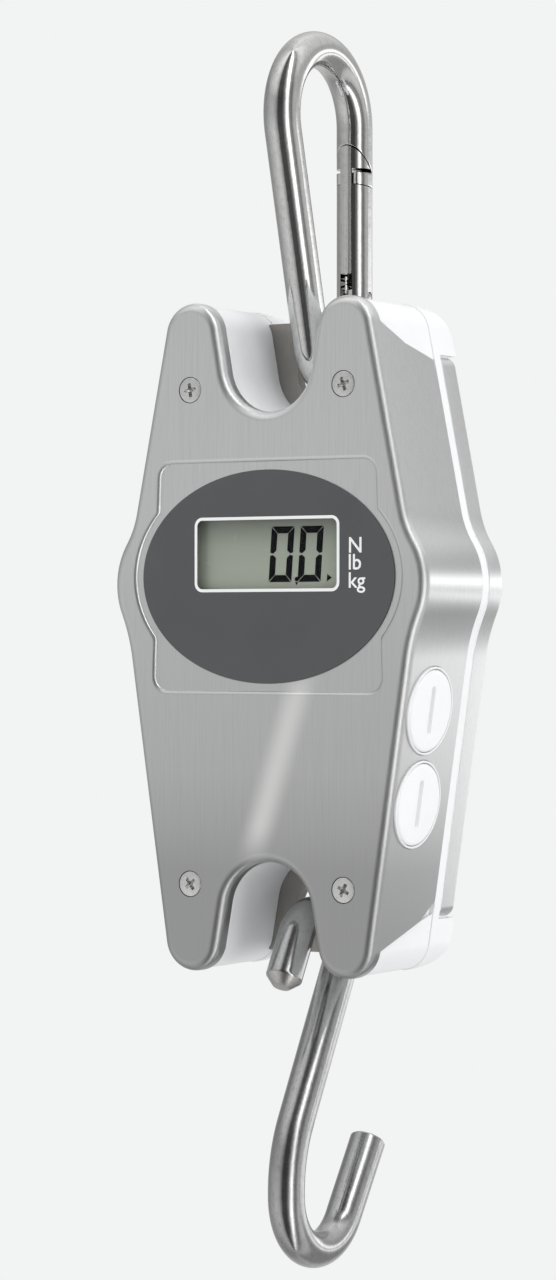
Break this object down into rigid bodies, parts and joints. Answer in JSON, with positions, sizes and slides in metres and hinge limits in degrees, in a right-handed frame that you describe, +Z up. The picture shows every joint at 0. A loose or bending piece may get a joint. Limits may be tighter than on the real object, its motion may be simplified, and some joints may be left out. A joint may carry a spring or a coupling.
{
  "type": "hanging crane scale",
  "caption": "Hand-sized hanging scale: spring-gate snap hook above, steel-clad white housing with display, screw-in battery caps on its flank, and a bent-rod load hook below.",
  "frame": {"origin": "inside top of the snap hook's bow, where the scale hangs from whatever carries it", "axes": "+Z up along the load line, -Y towards the display side, +X towards the battery caps"},
  "size_m": [0.0784, 0.0468, 0.2703],
  "materials": {
    "cover_steel": "vertically brushed stainless sheet",
    "housing_plastic": "white ABS, satin",
    "gasket_rubber": "soft black sealing rubber",
    "label_film": "dark grey printed film",
    "window_clear": "clear acrylic",
    "lcd_glass": "grey-green reflective display",
    "board": "green solder mask",
    "component_black": "black moulded components",
    "screw_steel": "stainless",
    "cell_metal": "milled aluminium alloy",
    "copper_film": "amber polyimide film",
    "battery_sleeve": "dark battery sleeve",
    "spring_steel": "spring wire",
    "hook_polished": "polished stainless rod",
    "hook_satin": "satin stainless rod",
    "key_plastic": "white ABS keys"
  },
  "bodies": {
    "snap_hook": {"snap_hook_body": "hook_polished", "gate_pin": "screw_steel"},
    "gate": {"snap_hook_gate": "hook_polished", "gate_spring": "spring_steel"},
    "housing": {"front_cover": "cover_steel", "rear_cover": "cover_steel", "front_housing": "housing_plastic", "rear_housing": "housing_plastic", "housing_gasket": "gasket_rubber", "lug_seals": "gasket_rubber", "front_label": "label_film", "display_window": "window_clear", "lcd_panel": "lcd_glass", "lcd_frame": "housing_plastic", "lcd_strips": "gasket_rubber", "main_board": "board", "board_parts": "component_black", "board_screws": "screw_steel", "load_cell": "cell_metal", "strain_gauges": "copper_film", "gauge_flex": "copper_film", "load_cell_screws": "screw_steel", "battery_tubes": "housing_plastic", "cell_springs": "spring_steel", "battery_upper": "battery_sleeve", "battery_lower": "battery_sleeve", "key_board": "board", "key_switches": "component_black", "front_screws": "screw_steel", "rear_screws": "screw_steel"},
    "hook": {"load_hook": "hook_satin"},
    "upper_cap_carrier": {"cap_seal_upper": "gasket_rubber"},
    "upper_cap": {"cap_upper": "housing_plastic", "cap_contact_upper": "spring_steel"},
    "lower_cap_carrier": {"cap_seal_lower": "gasket_rubber"},
    "lower_cap": {"cap_lower": "housing_plastic", "cap_contact_lower": "spring_steel"},
    "power_key": {"key_power": "key_plastic"},
    "tare_key": {"key_tare": "key_plastic"},
    "unit_key": {"key_unit": "key_plastic"}
  },
  "joints": [
    {"name": "gate_hinge", "type": "hinge", "parent": "snap_hook", "child": "gate", "pos_m": [0, 0.0155, -0.049], "axis": [1, 0, 0], "range_deg": [0, 28], "stiffness_Nm_per_rad": 0.04, "springref_deg": -17.19},
    {"name": "housing_swing", "type": "hinge", "parent": "snap_hook", "child": "housing", "pos_m": [0, 0.0026, -0.0668], "axis": [0, 1, 0], "range_deg": [-30, 30]},
    {"name": "hook_swing", "type": "hinge", "parent": "housing", "child": "hook", "pos_m": [0, 0.0026, -0.1837], "axis": [0, 1, 0], "range_deg": [-30, 30]},
    {"name": "upper_cap_travel", "type": "slide", "parent": "housing", "child": "upper_cap_carrier", "axis": [0.9893, 0, -0.1461], "range_m": [0, 0.006]},
    {"name": "upper_cap_screw", "type": "hinge", "parent": "upper_cap_carrier", "child": "upper_cap", "pos_m": [0.03361, -0.0109, -0.14], "axis": [0.9893, 0, -0.1461], "range_deg": [0, 1440]},
    {"name": "lower_cap_travel", "type": "slide", "parent": "housing", "child": "lower_cap_carrier", "axis": [0.9893, 0, -0.1461], "range_m": [0, 0.006]},
    {"name": "lower_cap_screw", "type": "hinge", "parent": "lower_cap_carrier", "child": "lower_cap", "pos_m": [0.03068, -0.0109, -0.1599], "axis": [0.9893, 0, -0.1461], "range_deg": [0, 1440]},
    {"name": "power_key_press", "type": "slide", "parent": "housing", "child": "power_key", "axis": [0.9806, 0, -0.1959], "range_m": [0, 0.0008], "stiffness_N_per_m": 1500, "springref_m": -0.0005},
    {"name": "tare_key_press", "type": "slide", "parent": "housing", "child": "tare_key", "axis": [0.9806, 0, -0.1959], "range_m": [0, 0.0008], "stiffness_N_per_m": 1500, "springref_m": -0.0005},
    {"name": "unit_key_press", "type": "slide", "parent": "housing", "child": "unit_key", "axis": [0.9806, 0, -0.1959], "range_m": [0, 0.0008], "stiffness_N_per_m": 1500, "springref_m": -0.0005}
  ],
  "couplings": [
    {"joint": "upper_cap_screw", "follows": "upper_cap_travel", "rad_per_m": 4188.8},
    {"joint": "lower_cap_screw", "follows": "lower_cap_travel", "rad_per_m": 4188.8}
  ]
}
